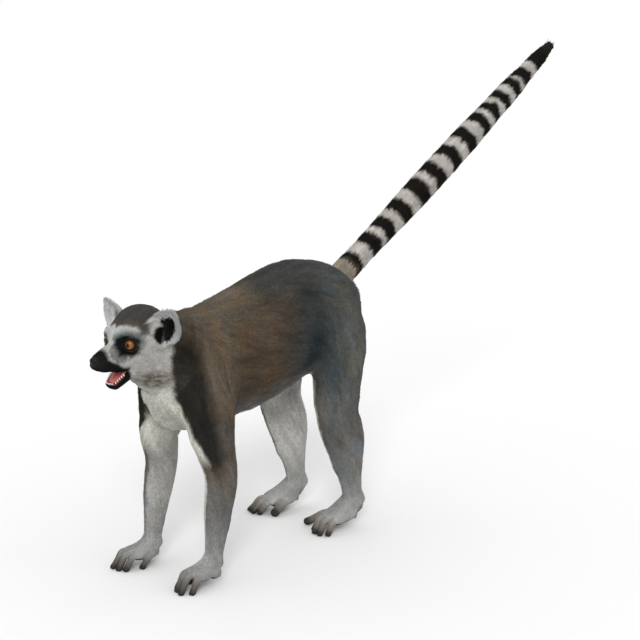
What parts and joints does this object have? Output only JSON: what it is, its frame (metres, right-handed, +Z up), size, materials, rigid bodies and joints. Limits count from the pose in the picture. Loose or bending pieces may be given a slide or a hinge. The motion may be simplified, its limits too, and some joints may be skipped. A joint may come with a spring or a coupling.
{
  "type": "ring-tailed lemur model",
  "caption": "Life-size ring-tailed lemur standing on all fours, mouth open, long ringed tail raised straight behind it.",
  "frame": {"origin": "on the floor, under the middle of the whole animal's bounding box", "axes": "+Z up, the nose points to -Y and the tail to +Y, the animal's left side is +X"},
  "size_m": [0.158, 0.9112, 0.5752],
  "materials": {
    "coat": "short dense fur, grey-brown above, pale grey to white below, black and white rings on the tail",
    "nose": "moist black skin with fine pebbling",
    "tongue": "wet pink tongue and gums",
    "tooth": "ivory enamel",
    "claw": "dark horn",
    "eye": "wet, orange-amber iris round a small black pupil"
  },
  "bodies": {
    "root": {"trunk": "coat", "neck": "coat", "head": "coat", "jaw": "coat", "tongue": "tongue", "nose": "nose", "ear_left": "coat", "ear_right": "coat", "eye_left": "eye", "eye_right": "eye", "tail_root": "coat", "tail_middle": "coat", "tail_tip": "coat", "upper_arm_left": "coat", "forearm_left": "coat", "hand_left": "coat", "thigh_left": "coat", "shank_left": "coat", "foot_left": "coat", "upper_arm_right": "coat", "forearm_right": "coat", "hand_right": "coat", "thigh_right": "coat", "shank_right": "coat", "foot_right": "coat"}
  },
  "joints": []
}
